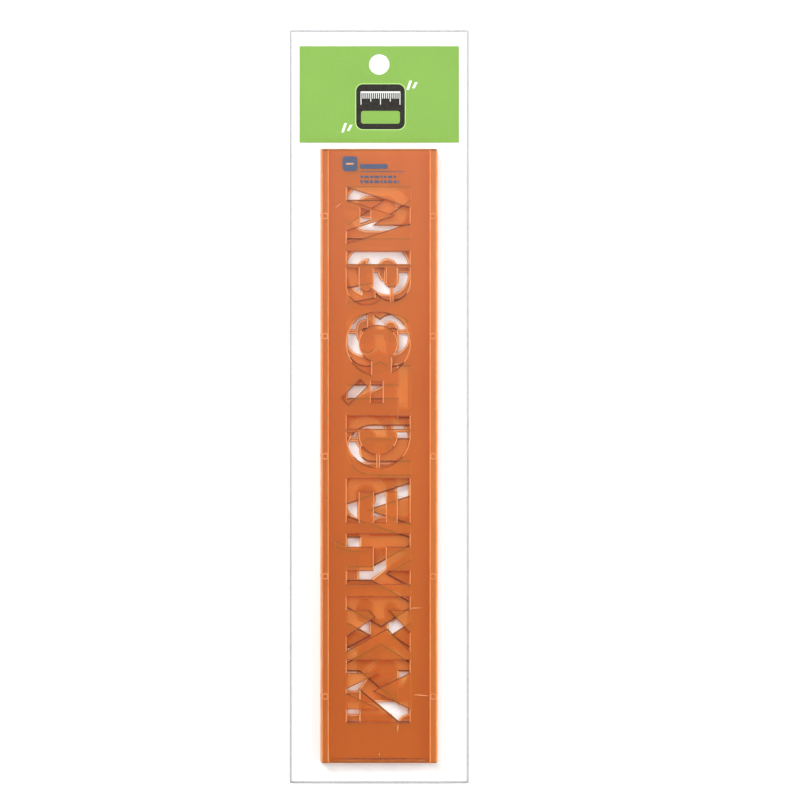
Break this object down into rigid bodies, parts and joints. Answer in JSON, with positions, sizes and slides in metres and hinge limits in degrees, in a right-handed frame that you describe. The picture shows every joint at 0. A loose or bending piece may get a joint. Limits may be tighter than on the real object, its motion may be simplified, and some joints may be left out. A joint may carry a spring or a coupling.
{
  "type": "lettering stencil set",
  "caption": "Translucent orange lettering and figure stencils with thick edge rails, stacked in a clear hanging pouch with a green header card.",
  "frame": {"origin": "centre of the bottom of the bounding box, under the middle of the pouch as it lies on its back", "axes": "+X across the pouch to the right, +Y up the pouch towards the hanging hole, +Z out of the front film towards the viewer"},
  "size_m": [0.07, 0.294, 0.0065],
  "materials": {
    "orange_plate": "translucent, lightly scratched",
    "green_card": "printed card, satin",
    "clear_film": "clear and glossy, slightly wrinkled"
  },
  "bodies": {
    "pouch": {"pouch_back_film": "clear_film", "pouch_front_film": "clear_film", "header_card": "green_card"},
    "letters_a_to_m": {"plate_letters_a_to_m": "orange_plate"},
    "letters_n_to_z": {"plate_letters_n_to_z": "orange_plate"},
    "numbers": {"plate_numbers": "orange_plate"}
  },
  "joints": [
    {"name": "letters_a_to_m_slide", "type": "slide", "parent": "pouch", "child": "letters_a_to_m", "axis": [0, -1, 0], "range_m": [0, 0.25]},
    {"name": "letters_n_to_z_slide", "type": "slide", "parent": "pouch", "child": "letters_n_to_z", "axis": [0, -1, 0], "range_m": [0, 0.25]},
    {"name": "numbers_slide", "type": "slide", "parent": "pouch", "child": "numbers", "axis": [0, -1, 0], "range_m": [0, 0.25]}
  ]
}
